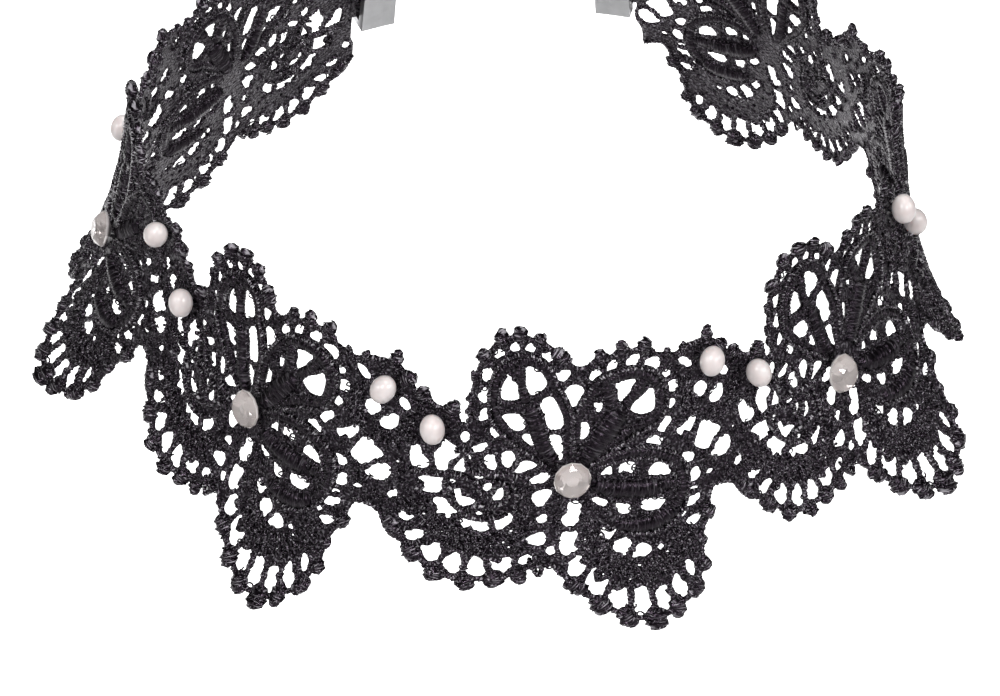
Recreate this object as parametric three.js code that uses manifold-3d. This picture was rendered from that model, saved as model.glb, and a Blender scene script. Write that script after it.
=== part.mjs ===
// Choker necklace of black guipure lace with oval pearls and clear cut crystals.
// Frame: millimetres, +Z up. The origin is the middle of the neck at the height of the crystals.
// The wearer faces -Y, where the middle crystal sits, and the wearer's left is +X.
import * as THREE from "three";
import { ConvexGeometry } from "three/addons/geometries/ConvexGeometry.js";
import { mergeVertices } from "three/addons/utils/BufferGeometryUtils.js";
import Module from "manifold-3d";

const wasm = await Module();
wasm.setup();

// Driving sizes.
const neckRadius = 55;
const laceHeight = 47;
const laceThickness = 1.4;
const laceFlare = 12.7;
const pearlWidth = 3.2;
const pearlHeight = 4.0;
const crystalWidth = 4.9;
const crystalHeight = 5.4;
const crystalDepth = 2.4;
const seatGap = 0.3;
const claspThickness = 1.2;
const crimpLength = 6;

// The lace repeats eight times in a full turn, and the clasp takes the place of one repeat.
const turnsPerRing = 8;
const repeats = [-3, -2, -1, 0, 1, 2, 3];
const pitch = (2 * Math.PI * neckRadius) / turnsPerRing;

// The chart of one repeat counts in stitches from its crystal, along the band and up.
const repeatStitches = 43.2;
const tallStitches = 47;
const alongStitch = pitch / repeatStitches;
const upStitch = laceHeight / tallStitches;

// Where the edges meet the band's ends: along and up, first on the first repeat's upper edge,
// then on the last repeat's lower and upper edges.
const firstUpper = [
  [-24.8, 13.6],
  [-21.4, 12.9],
];
const lastLower = [20.8, -6.8];
const lastUpper = [20.2, 15.6];

// Picots on the upper edge: along, up, radius, and how deep the dip after each one is.
const upperPicots = [
  [-23.5, 16.2, 1.4, 0.5],
  [-21.6, 13.4, 1.2, 0.4],
  [-19.0, 11.0, 1.2, 0.6],
  [-15.2, 9.4, 1.3, 1.4],
  [-12.7, 10.6, 0.9, 0.3],
  [-12.4, 14.0, 1.0, 0.3],
  [-11.2, 17.4, 1.2, 0.4],
  [-9.2, 20.2, 1.2, 0.4],
  [-6.1, 21.1, 1.2, 0.4],
  [-3.2, 20.0, 1.2, 0.4],
  [-0.6, 17.5, 1.2, 2.2],
  [4.6, 16.8, 1.0, 0.3],
  [7.4, 17.5, 1.1, 0.3],
  [10.3, 17.0, 1.1, 0.4],
  [13.3, 15.0, 0.9, 0.3],
  [16.0, 14.7, 0.8, 0.3],
];

// Picots on the lower edge, in the same columns: the crescent first, then the fan.
const lowerPicots = [
  [-22.2, -6.2, 0.9, 0.1],
  [-20.2, -8.8, 1.2, 0.4],
  [-17.7, -12.2, 1.3, 0.4],
  [-14.7, -14.7, 1.2, 0.4],
  [-11.7, -15.9, 1.1, 0.3],
  [-8.7, -15.5, 1.2, 0.3],
  [-6.0, -14.7, 1.0, 2.2],
  [0.2, -17.0, 1.2, 0.1],
  [2.5, -20.0, 1.3, 0.4],
  [5.3, -22.2, 1.3, 0.4],
  [8.5, -23.2, 1.4, 0.4],
  [11.2, -21.9, 1.3, 0.4],
  [13.7, -19.6, 1.2, 0.3],
  [15.3, -16.4, 1.0, 0.3],
  [15.6, -12.9, 1.0, 0.3],
  [16.8, -9.5, 1.1, 1.6],
];

// Open gaps of one repeat: along, up, width, height and turn in degrees.
const gaps = [
  [17.8, 1.7, 3.5, 4.0, 5],
  [19.8, -1.6, 2.6, 2.0, -10],
  [-15.2, 2.9, 2.9, 4.7, 8],
  [-18.4, 2.1, 2.2, 3.3, 15],
  [-16.4, -1.8, 3.0, 2.6, 0],
  [-14.7, -4.9, 2.6, 2.8, 40],
  [-7.6, 13.2, 2.6, 3.8, 22],
  [-3.9, 14.2, 2.9, 4.0, 12],
  [-1.9, 9.4, 2.2, 4.9, 12],
  [0.9, 11.8, 2.4, 3.2, 0],
  [9.8, 8.7, 3.1, 3.0, -35],
  [-0.7, -10.3, 1.9, 3.7, -5],
  [2.4, -16.4, 1.8, 3.5, -8],
  [7.1, -20.0, 2.0, 3.5, 5],
  [11.5, -18.7, 1.8, 3.3, 5],
  [-13.1, -13.0, 1.9, 2.7, -15],
  [-10.4, -13.3, 2.0, 2.8, 5],
];

// The way the band stands: place in repeats, then shift along as a share of the repeat,
// bulge out as a share of the neck's radius, rise as a share of the lace's height, the flare
// in degrees that is added to the lace's own, the lower edge's curl and the upper edge's nod
// outwards as shares of the lace's height, and the upper edge's lean along as a share of the
// repeat, which the lower edge takes the other way.
const column = { shift: 1, bulge: 2, rise: 3, flare: 4, curl: 5, nod: 6, lean: 7 };
const folds = [
  [-3.0, 0, 0, 0, 0, 0, 0, 0],
  [-2.5, -0.065, 0.055, -0.01, 1, 0.12, 0.06, -0.05],
  [-2.0, -0.04, 0.03, -0.02, 6, 0.12, 0.05, 0.18],
  [-1.5, -0.1, -0.045, -0.06, 2, 0.13, 0.1, 0.08],
  [-1.0, -0.1, -0.06, -0.11, -4, 0.12, -0.02, 0.03],
  [-0.5, -0.02, 0.02, -0.03, -7, 0.08, -0.03, 0.07],
  [0.0, 0, 0.04, 0, -9, 0.04, -0.02, -0.02],
  [0.5, 0.02, -0.02, -0.02, -1, 0.04, 0.03, -0.03],
  [1.0, -0.03, -0.01, 0.045, 4, 0.05, 0.08, -0.02],
  [1.5, 0.025, -0.03, 0.01, 9, 0.11, 0.085, 0.015],
  [2.0, 0.03, -0.055, 0.005, -5, 0.08, 0.02, -0.08],
  [2.5, 0.03, -0.04, 0.01, 0, -0.02, 0.035, -0.05],
  [3.0, 0, 0, 0, 0, 0, 0, 0],
];

// Pearls: their repeat, along and up in stitches, and their turn in degrees.
const pearlSeats = [
  [-2, -20.3, 1.2, 12],
  [-1, -24.5, 14.0, -18],
  [-1, -15.5, 8.0, 12],
  [0, -23.8, 12.5, -18],
  [0, -17.0, 8.0, 12],
  [1, -24.3, 13.0, -18],
  [1, -17.2, 8.0, 12],
  [2, -24.2, 12.0, -18],
  [2, -20.0, 7.2, 12],
];

// Crystals: their repeat, along and up in stitches.
const crystalSeats = [
  [-2, 0.2, 1.3],
  [-1, 0.6, 1.3],
  [0, 0, 0.4],
  [1, -2.6, -0.2],
];

// Clasp: a plain strap between two crimps, each closed on a tab at an end of the lace.
const tabUp = 6;
const tabHeight = 9;
const tabLength = 4;
const endAlong = [repeats[0] - 0.5, repeats[repeats.length - 1] + 0.5];

// One column of the folds table at a place along the band, eased from row to row.
function foldAt(place, name) {
  const spacing = folds[1][0] - folds[0][0];
  const steps = (place - folds[0][0]) / spacing;
  const row = Math.floor(steps);
  const share = steps - row;
  const value = (i) => (folds[i] ? folds[i][column[name]] : 0);
  const before = value(row - 1);
  const here = value(row);
  const next = value(row + 1);
  const after = value(row + 2);
  const slope = (next - before) * share;
  const bend = (2 * before - 5 * here + 4 * next - after) * share ** 2;
  const curl = (3 * here - 3 * next + after - before) * share ** 3;
  return here + 0.5 * (slope + bend + curl);
}

// Carries a point of the flat band to the neck: along, up and out from the band's middle.
function onNeck(along, up, out) {
  const place = along / pitch;
  const level = up / (laceHeight / 2);
  const flare = THREE.MathUtils.degToRad(laceFlare + foldAt(place, "flare"));
  const shift = foldAt(place, "shift") + foldAt(place, "lean") * level;
  const turn = (along + shift * pitch) / neckRadius;
  const bulge = foldAt(place, "bulge") * neckRadius;
  const bend = foldAt(place, level < 0 ? "curl" : "nod") * laceHeight * level ** 2;
  const rise = foldAt(place, "rise") * laceHeight;
  const radius = neckRadius + bulge + bend - up * Math.sin(flare) + out * Math.cos(flare);
  const height = rise + up * Math.cos(flare) + out * Math.sin(flare);
  return new THREE.Vector3(radius * Math.sin(turn), -radius * Math.cos(turn), height);
}

// Chart stitches of a repeat as millimetres on the flat band.
function charted(repeat, along, up) {
  return new THREE.Vector2(repeat * pitch + along * alongStitch, up * upStitch);
}

// An edge of the band: a dip and two shoulders for each picot, on the given side.
function scallops(picots, side) {
  const row = repeats.flatMap((repeat) =>
    picots.map(([along, up, radius, dip]) => ({
      at: charted(repeat, along, up),
      radius: radius * upStitch,
      dip: dip * upStitch,
    })),
  );
  const points = [];
  for (let i = 0; i < row.length; i++) {
    const before = row[Math.max(i - 1, 0)].at;
    const after = row[Math.min(i + 1, row.length - 1)].at;
    const tangent = after.clone().sub(before).normalize();
    const outward = new THREE.Vector2(-tangent.y, tangent.x).multiplyScalar(side);
    const { at, radius } = row[i];
    for (const way of [-0.75, 0.75]) {
      const shoulder = at.clone().addScaledVector(tangent, way * radius);
      points.push(shoulder.addScaledVector(outward, 0.8 * radius));
    }
    if (i < row.length - 1) {
      const middle = at.clone().add(after).multiplyScalar(0.5);
      const across = after.clone().sub(at).normalize();
      const inward = new THREE.Vector2(across.y, -across.x).multiplyScalar(side);
      points.push(middle.addScaledVector(inward, row[i].dip));
    }
  }
  return points;
}

// A gap with six corners.
function gapPath(repeat, [along, up, width, height, turn]) {
  const corners = 6;
  const lean = THREE.MathUtils.degToRad(turn);
  const points = [];
  for (let i = 0; i < corners; i++) {
    const angle = ((i + 0.5) * 2 * Math.PI) / corners;
    const x = 0.55 * width * Math.cos(angle);
    const y = 0.5 * height * Math.sin(angle);
    const turnedAlong = along + x * Math.cos(lean) - y * Math.sin(lean);
    const turnedUp = up + x * Math.sin(lean) + y * Math.cos(lean);
    points.push(charted(repeat, turnedAlong, turnedUp));
  }
  return new THREE.Path(points);
}

// Position only, with shared vertices merged.
function welded(geometry) {
  const plain = geometry.clone();
  plain.deleteAttribute("normal");
  plain.deleteAttribute("uv");
  return mergeVertices(plain, 1e-4);
}

function solid(geometry) {
  const plain = welded(geometry);
  const mesh = new wasm.Mesh({
    numProp: 3,
    vertProperties: plain.getAttribute("position").array,
    triVerts: new Uint32Array(plain.index.array),
  });
  return new wasm.Manifold(mesh);
}

// A block of the flat band, from its least to its greatest along, up and out.
function block(along, up, out) {
  const box = new THREE.BoxGeometry(along[1] - along[0], up[1] - up[0], out[1] - out[0]);
  box.translate((along[0] + along[1]) / 2, (up[0] + up[1]) / 2, (out[0] + out[1]) / 2);
  return solid(box);
}

// Splits the faces that have an edge on a plane where other points of the plane lie on it.
function stitched(faces, spots, axis, plane) {
  const near = 2e-3;
  const isOn = spots.map((spot) => Math.abs(spot[axis] - plane) < near);
  const onPlane = spots.map((_, number) => number).filter((number) => isOn[number]);
  return faces.flatMap((face) => {
    const corner = [0, 1, 2].find((i) => isOn[face[i]] && isOn[face[(i + 1) % 3]]);
    if (corner === undefined) {
      return [face];
    }
    const [a, b, c] = [0, 1, 2].map((step) => face[(corner + step) % 3]);
    const edge = new THREE.Line3(spots[a], spots[b]);
    const foot = new THREE.Vector3();
    const between = onPlane
      .filter((number) => number !== a && number !== b)
      .map((number) => ({ number, share: edge.closestPointToPointParameter(spots[number], true) }))
      .filter(({ number, share }) => edge.at(share, foot).distanceTo(spots[number]) < near)
      .sort((one, other) => one.share - other.share);
    const chain = [a, ...between.map(({ number }) => number), b];
    return chain.slice(1).map((number, i) => [chain[i], number, c]);
  });
}

// Spans between planes, from far before the first to far behind the last.
function spans(planes) {
  const far = 1000;
  const ends = [-far, ...planes, far];
  return planes.map((plane, i) => [ends[i], plane]).concat([[ends[planes.length], far]]);
}

// Bends a flat solid round the neck: x is along, y is up and z is out. It is cut into short
// columns and rows first, whose meeting faces are left out, so that it follows the curves.
function bent(flat, columns, rows) {
  const far = 1000;
  const near = 1e-3;
  const spots = [];
  let faces = [];
  for (const along of spans(columns)) {
    for (const up of spans(rows)) {
      const cell = flat.intersect(block(along, up, [-far, far])).getMesh();
      const numbers = [];
      const fresh = spots.length;
      for (let v = 0; v < cell.vertProperties.length; v += 3) {
        const spot = new THREE.Vector3(...cell.vertProperties.slice(v, v + 3));
        const met = spots.findIndex((other, j) => j < fresh && other.distanceTo(spot) < near);
        numbers.push(met < 0 ? spots.push(spot) - 1 : met);
      }
      for (let t = 0; t < cell.triVerts.length; t += 3) {
        const face = Array.from(cell.triVerts.slice(t, t + 3), (v) => numbers[v]);
        const lies = (axis, plane) =>
          face.every((number) => Math.abs(spots[number][axis] - plane) < near);
        const isMeeting = along.some((plane) => lies("x", plane)) || up.some((plane) => lies("y", plane));
        if (!isMeeting) {
          faces.push(face);
        }
      }
    }
  }
  for (const plane of columns) {
    faces = stitched(faces, spots, "x", plane);
  }
  for (const plane of rows) {
    faces = stitched(faces, spots, "y", plane);
  }
  const result = new THREE.BufferGeometry();
  result.setFromPoints(spots.map((spot) => onNeck(spot.x, spot.y, spot.z)));
  result.setIndex(faces.flat());
  result.computeVertexNormals();
  return result;
}

function planesBetween(from, to, spacing) {
  const count = Math.round((to - from) / spacing);
  return Array.from({ length: count - 1 }, (_, i) => from + ((i + 1) * (to - from)) / count);
}

// Lace: one cloth with scalloped edges, open gaps and a plain tab at each end.
function laceGeometry() {
  const upper = scallops(upperPicots, 1);
  const lower = scallops(lowerPicots, -1);
  const tab = (end, way) => {
    const edge = end * pitch;
    const tip = edge + way * tabLength;
    const low = (tabUp - tabHeight / 2) * upStitch;
    const high = (tabUp + tabHeight / 2) * upStitch;
    return [
      new THREE.Vector2(edge, low),
      new THREE.Vector2(tip, low),
      new THREE.Vector2(tip, high),
      new THREE.Vector2(edge, high),
    ];
  };
  const lastRepeat = repeats[repeats.length - 1];
  lower.push(charted(lastRepeat, ...lastLower));
  upper.push(charted(lastRepeat, ...lastUpper));
  for (const place of firstUpper) {
    upper.unshift(charted(repeats[0], ...place));
  }
  const outline = [
    ...lower,
    ...tab(endAlong[1], 1),
    ...upper.reverse(),
    ...tab(endAlong[0], -1).reverse(),
  ];
  const shape = new THREE.Shape(outline);
  for (const repeat of repeats) {
    for (const gap of gaps) {
      shape.holes.push(gapPath(repeat, gap));
    }
  }
  const flat = new THREE.ExtrudeGeometry(shape, { depth: laceThickness, bevelEnabled: false });
  flat.translate(0, 0, -laceThickness / 2);
  const reach = repeats.length / 2 + 0.2;
  const columns = planesBetween(-reach * pitch, reach * pitch, pitch / 5);
  return bent(solid(flat), columns, [-laceHeight / 4, 0, laceHeight / 4]);
}

// Clasp: the strap takes the plain way round the back between the two crimps.
function claspGeometry() {
  const from = endAlong[1] * pitch;
  const to = (endAlong[0] + turnsPerRing) * pitch;
  const low = (tabUp - tabHeight / 2) * upStitch;
  const high = (tabUp + tabHeight / 2) * upStitch;
  const half = laceThickness / 2 + seatGap;
  const jaw = [-half - claspThickness, half + claspThickness];
  const crimpUp = [low - seatGap - claspThickness, high + seatGap + claspThickness];
  const slotUp = [low - seatGap, high + seatGap];
  const middleUp = (low + high) / 2;
  const strapHalf = (high - low) / 4;
  const strap = block(
    [from + crimpLength - 1, to - crimpLength + 1],
    [middleUp - strapHalf, middleUp + strapHalf],
    [-claspThickness / 2, claspThickness / 2],
  );
  const bite = 0.6;
  const leftCrimp = block([from + bite, from + crimpLength], crimpUp, jaw).subtract(
    block([from - 1, from + tabLength + seatGap], slotUp, [-half, half]),
  );
  const rightCrimp = block([to - crimpLength, to - bite], crimpUp, jaw).subtract(
    block([to - tabLength - seatGap, to + 1], slotUp, [-half, half]),
  );
  const whole = strap.add(leftCrimp).add(rightCrimp);
  return bent(whole, planesBetween(from, to, pitch / 11), []);
}

// Pearl: an oval bead whose long axis stands up the band.
function pearlGeometry() {
  const rings = 6;
  const sides = 12;
  const profile = [];
  for (let i = 0; i <= rings; i++) {
    const angle = (i / rings - 0.5) * Math.PI;
    const x = i === 0 || i === rings ? 0 : (pearlWidth / 2) * Math.cos(angle);
    profile.push(new THREE.Vector2(x, (pearlHeight / 2) * Math.sin(angle)));
  }
  return welded(new THREE.LatheGeometry(profile, sides));
}

// Crystal: flat table, two rows of crown facets, girdle and flat back.
function crystalGeometry() {
  const sides = 8;
  const rows = [
    // share of the width, share of the depth from the back, half a step round
    [0.8, 0, 0],
    [1, 0.3, 0],
    [0.82, 0.68, 0.5],
    [0.5, 1, 0],
  ];
  const points = rows.flatMap(([wide, deep, step]) =>
    Array.from({ length: sides }, (_, i) => {
      const angle = ((i + 0.5 + step) * 2 * Math.PI) / sides;
      const x = (wide * crystalWidth * Math.cos(angle)) / 2;
      const y = (wide * crystalHeight * Math.sin(angle)) / 2;
      return new THREE.Vector3(x, y, deep * crystalDepth);
    }),
  );
  return welded(new ConvexGeometry(points));
}

const group = new THREE.Group();
group.name = "lace_choker";

function addMesh(name, geometry, material, parent = group) {
  const mesh = new THREE.Mesh(geometry, material);
  mesh.name = name;
  parent.add(mesh);
  return mesh;
}

// Stands a stone on the lace's outer face, with its own z pointing out and y up the band.
function seated(mesh, repeat, [along, up], lift, turn) {
  const spot = charted(repeat, along, up);
  const out = laceThickness / 2 + seatGap + lift;
  const at = onNeck(spot.x, spot.y, out);
  const ahead = onNeck(spot.x + 1, spot.y, out).sub(at);
  const above = onNeck(spot.x, spot.y + 1, out).sub(at);
  const outward = ahead.clone().cross(above).normalize();
  const across = above.clone().cross(outward).normalize();
  const upright = outward.clone().cross(across);
  const basis = new THREE.Matrix4().makeBasis(across, upright, outward);
  mesh.quaternion.setFromRotationMatrix(basis);
  mesh.rotateZ(THREE.MathUtils.degToRad(turn));
  mesh.position.copy(at);
}

const laceMaterial = () =>
  new THREE.MeshStandardMaterial({ color: 0x0b0a0a, roughness: 0.6, metalness: 0 });
const pearlMaterial = () =>
  new THREE.MeshStandardMaterial({ color: 0xf3e7e0, roughness: 0.2, metalness: 0.05 });
const crystalMaterial = () =>
  new THREE.MeshStandardMaterial({ color: 0xd5d5d2, roughness: 0.05, metalness: 0.1 });
const claspMaterial = () =>
  new THREE.MeshStandardMaterial({ color: 0x9a9a9c, roughness: 0.35, metalness: 1 });

addMesh("lace_band", laceGeometry(), laceMaterial());
addMesh("back_clasp", claspGeometry(), claspMaterial());

pearlSeats.forEach(([repeat, along, up, turn], i) => {
  const pearl = addMesh(`pearl_${i + 1}`, pearlGeometry(), pearlMaterial());
  seated(pearl, repeat, [along, up], pearlWidth / 2, turn);
});
crystalSeats.forEach(([repeat, along, up], i) => {
  const crystal = addMesh(`crystal_${i + 1}`, crystalGeometry(), crystalMaterial());
  seated(crystal, repeat, [along, up], 0, 0);
});

export default group;
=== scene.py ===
import math

import bpy
import numpy as np
from mathutils import Matrix, Vector, geometry


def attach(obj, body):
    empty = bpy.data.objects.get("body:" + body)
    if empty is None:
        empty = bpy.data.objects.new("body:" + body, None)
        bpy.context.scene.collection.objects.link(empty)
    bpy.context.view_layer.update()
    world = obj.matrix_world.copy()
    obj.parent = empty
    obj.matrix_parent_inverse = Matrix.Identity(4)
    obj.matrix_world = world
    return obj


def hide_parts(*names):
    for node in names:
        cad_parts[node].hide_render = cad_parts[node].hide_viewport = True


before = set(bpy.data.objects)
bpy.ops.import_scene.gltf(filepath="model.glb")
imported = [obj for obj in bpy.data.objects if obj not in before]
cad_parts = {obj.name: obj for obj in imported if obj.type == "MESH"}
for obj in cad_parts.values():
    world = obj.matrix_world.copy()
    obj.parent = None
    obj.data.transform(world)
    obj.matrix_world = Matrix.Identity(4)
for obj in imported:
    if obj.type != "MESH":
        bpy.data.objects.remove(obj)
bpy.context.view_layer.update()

# Sizes in millimetres, and the flare in degrees, the same as the solids' own.
NECK_RADIUS = 55.0
LACE_HEIGHT = 47.0
LACE_THICKNESS = 1.4
LACE_FLARE = 12.7
PEARL = (3.2, 4.0)
CRYSTAL = (4.9, 5.4, 2.4)
SEAT_GAP = 0.3
# The tab at each end of the lace: its middle and height in stitches, then its length, its half
# thickness and how far it runs into the lace.
TAB_UP, TAB_HEIGHT = 6.0, 9.0
TAB_LENGTH, TAB_HALF, TAB_LAP = 4.0, 0.4, 0.5
# A full turn would hold eight repeats, and one repeat is charted in stitches along and up.
REPEATS_PER_TURN = 8
STITCHES_ALONG, STITCHES_UP = 43.2, 47.0
PITCH = 2 * math.pi * NECK_RADIUS / REPEATS_PER_TURN
STITCH = PITCH / STITCHES_ALONG
UP = LACE_HEIGHT / STITCHES_UP
REPEATS = [-3, -2, -1, 0, 1, 2, 3]
MM = 0.001

# Seeded, so the lace is the same on each run.
rng = np.random.default_rng(7)

# The folds, half a repeat apart: place in repeats, shift along, bulge out, rise, added flare in
# degrees, the lower edge's curl, the upper edge's nod and the lean along, as the solid lace has
# them.
FOLD_STEP = 0.5
FOLDS = np.array([
    [-3.0, 0, 0, 0, 0, 0, 0, 0],
    [-2.5, -0.065, 0.055, -0.01, 1, 0.12, 0.06, -0.05],
    [-2.0, -0.04, 0.03, -0.02, 6, 0.12, 0.05, 0.18],
    [-1.5, -0.1, -0.045, -0.06, 2, 0.13, 0.1, 0.08],
    [-1.0, -0.1, -0.06, -0.11, -4, 0.12, -0.02, 0.03],
    [-0.5, -0.02, 0.02, -0.03, -7, 0.08, -0.03, 0.07],
    [0.0, 0, 0.04, 0, -9, 0.04, -0.02, -0.02],
    [0.5, 0.02, -0.02, -0.02, -1, 0.04, 0.03, -0.03],
    [1.0, -0.03, -0.01, 0.045, 4, 0.05, 0.08, -0.02],
    [1.5, 0.025, -0.03, 0.01, 9, 0.11, 0.085, 0.015],
    [2.0, 0.03, -0.055, 0.005, -5, 0.08, 0.02, -0.08],
    [2.5, 0.03, -0.04, 0.01, 0, -0.02, 0.035, -0.05],
    [3.0, 0, 0, 0, 0, 0, 0, 0],
])

# Seats of the stones: repeat, then along and up in stitches, and the pearls' turn in degrees.
PEARL_SEATS = [
    (-2, -20.3, 1.2, 12),
    (-1, -24.5, 14.0, -18), (-1, -15.5, 8.0, 12),
    (0, -23.8, 12.5, -18), (0, -17.0, 8.0, 12),
    (1, -24.3, 13.0, -18), (1, -17.2, 8.0, 12),
    (2, -24.2, 12.0, -18), (2, -20.0, 7.2, 12),
]
CRYSTAL_SEATS = [(-2, 0.2, 1.3), (-1, 0.6, 1.3), (0, 0, 0.4), (1, -2.6, -0.2)]

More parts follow.
